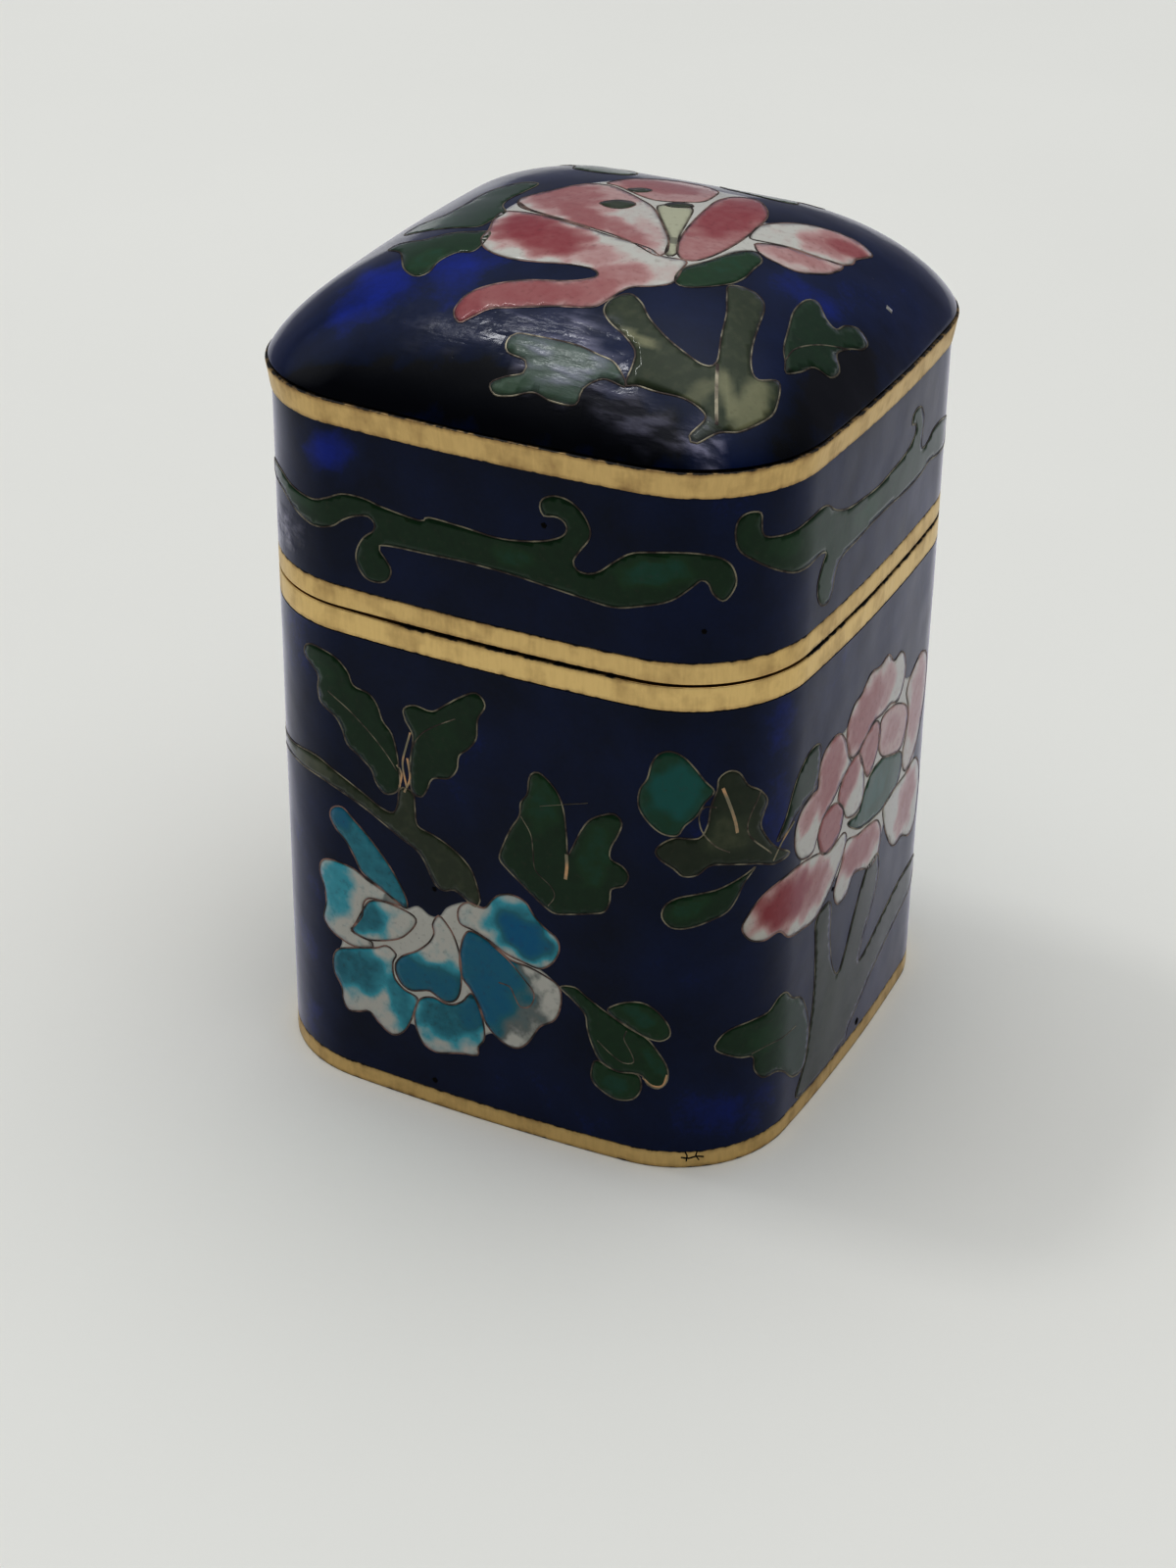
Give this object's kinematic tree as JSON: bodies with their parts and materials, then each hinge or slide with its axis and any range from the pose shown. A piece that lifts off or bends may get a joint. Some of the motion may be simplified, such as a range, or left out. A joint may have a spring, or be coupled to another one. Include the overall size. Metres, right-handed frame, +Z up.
{
  "type": "cloisonne jar",
  "caption": "Small square cloisonne jar with rounded corners, gilt rims and a domed lid that lifts off, enamelled with peonies on blue.",
  "frame": {"origin": "centre of the foot, on the plane that the jar stands on", "axes": "+Z up; -Y towards the face with the turquoise peony, +X towards the face with the pink peony"},
  "size_m": [0.0428, 0.0428, 0.0649],
  "materials": {
    "blue_enamel": "glossy cobalt enamel with flowers and leaves in fine wire outlines",
    "worn_gilt": "worn gilt brass with fine scratches and brown patina"
  },
  "bodies": {
    "root": {"jar_body": "blue_enamel", "lid": "blue_enamel", "foot_rim": "worn_gilt", "body_mouth_rim": "worn_gilt", "inner_collar": "worn_gilt", "lid_mouth_rim": "worn_gilt", "lid_shoulder_rim": "worn_gilt"}
  },
  "joints": []
}
